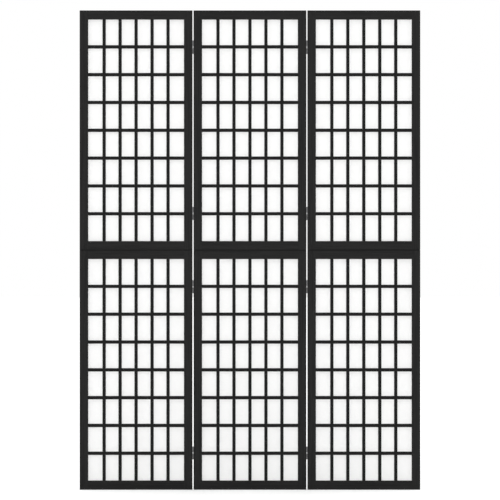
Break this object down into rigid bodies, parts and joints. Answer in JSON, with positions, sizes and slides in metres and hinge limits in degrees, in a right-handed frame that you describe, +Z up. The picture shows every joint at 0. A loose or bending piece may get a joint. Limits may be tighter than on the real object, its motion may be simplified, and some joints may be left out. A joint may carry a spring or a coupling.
{
  "type": "shoji folding screen",
  "caption": "Free-standing folding screen of hinged panels, each a dark wooden frame with a fine lattice in front of translucent paper; every joint folds both ways.",
  "frame": {"origin": "middle of the foot of the middle panel, half way through its thickness, on the floor", "axes": "+X along the screen, to the right as seen from the lattice side; +Y into the depth, so the lattice side looks along -Y; +Z up"},
  "size_m": [1.208, 0.024, 1.7],
  "materials": {
    "frame_wood": "black stained softwood, satin lacquer",
    "lattice_wood": "black stained softwood, satin lacquer",
    "paper": "white translucent long-fibre paper",
    "dowel_wood": "bare beech",
    "hinge_steel": "rolled sheet steel, dull zinc plating",
    "screw_steel": "zinc plated"
  },
  "bodies": {
    "middle_panel": {"middle_lower_left_stile": "frame_wood", "middle_lower_right_stile": "frame_wood", "middle_lower_bottom_rail": "frame_wood", "middle_lower_top_rail": "frame_wood", "middle_lower_lattice_uprights": "lattice_wood", "middle_lower_lattice_crossbars": "lattice_wood", "middle_lower_paper": "paper", "middle_upper_left_stile": "frame_wood", "middle_upper_right_stile": "frame_wood", "middle_upper_bottom_rail": "frame_wood", "middle_upper_top_rail": "frame_wood", "middle_upper_lattice_uprights": "lattice_wood", "middle_upper_lattice_crossbars": "lattice_wood", "middle_upper_paper": "paper", "middle_seam_dowels": "dowel_wood", "middle_seam_screws": "screw_steel", "left_hinge_right_leaves": "hinge_steel", "left_hinge_right_screws": "screw_steel", "right_hinge_left_leaves": "hinge_steel", "right_hinge_left_screws": "screw_steel"},
    "left_panel": {"left_lower_left_stile": "frame_wood", "left_lower_right_stile": "frame_wood", "left_lower_bottom_rail": "frame_wood", "left_lower_top_rail": "frame_wood", "left_lower_lattice_uprights": "lattice_wood", "left_lower_lattice_crossbars": "lattice_wood", "left_lower_paper": "paper", "left_upper_left_stile": "frame_wood", "left_upper_right_stile": "frame_wood", "left_upper_bottom_rail": "frame_wood", "left_upper_top_rail": "frame_wood", "left_upper_lattice_uprights": "lattice_wood", "left_upper_lattice_crossbars": "lattice_wood", "left_upper_paper": "paper", "left_seam_dowels": "dowel_wood", "left_seam_screws": "screw_steel", "left_hinge_left_leaves": "hinge_steel", "left_hinge_left_screws": "screw_steel"},
    "right_panel": {"right_lower_left_stile": "frame_wood", "right_lower_right_stile": "frame_wood", "right_lower_bottom_rail": "frame_wood", "right_lower_top_rail": "frame_wood", "right_lower_lattice_uprights": "lattice_wood", "right_lower_lattice_crossbars": "lattice_wood", "right_lower_paper": "paper", "right_upper_left_stile": "frame_wood", "right_upper_right_stile": "frame_wood", "right_upper_bottom_rail": "frame_wood", "right_upper_top_rail": "frame_wood", "right_upper_lattice_uprights": "lattice_wood", "right_upper_lattice_crossbars": "lattice_wood", "right_upper_paper": "paper", "right_seam_dowels": "dowel_wood", "right_seam_screws": "screw_steel", "right_hinge_right_leaves": "hinge_steel", "right_hinge_right_screws": "screw_steel"},
    "left_hinge_links": {"left_hinge_links": "hinge_steel", "left_hinge_pins": "hinge_steel"},
    "right_hinge_links": {"right_hinge_links": "hinge_steel", "right_hinge_pins": "hinge_steel"}
  },
  "joints": [
    {"name": "left_panel_folds_forward", "type": "hinge", "parent": "left_hinge_links", "child": "left_panel", "pos_m": [-0.202, -0.01, 0.85], "axis": [0, 0, 1], "range_deg": [0, 180]},
    {"name": "left_panel_folds_back", "type": "hinge", "parent": "middle_panel", "child": "left_hinge_links", "pos_m": [-0.202, 0.01, 0.85], "axis": [0, 0, -1], "range_deg": [0, 90]},
    {"name": "right_panel_folds_back", "type": "hinge", "parent": "right_hinge_links", "child": "right_panel", "pos_m": [0.202, 0.01, 0.85], "axis": [0, 0, 1], "range_deg": [0, 180]},
    {"name": "right_panel_folds_forward", "type": "hinge", "parent": "middle_panel", "child": "right_hinge_links", "pos_m": [0.202, -0.01, 0.85], "axis": [0, 0, -1], "range_deg": [0, 90]}
  ]
}
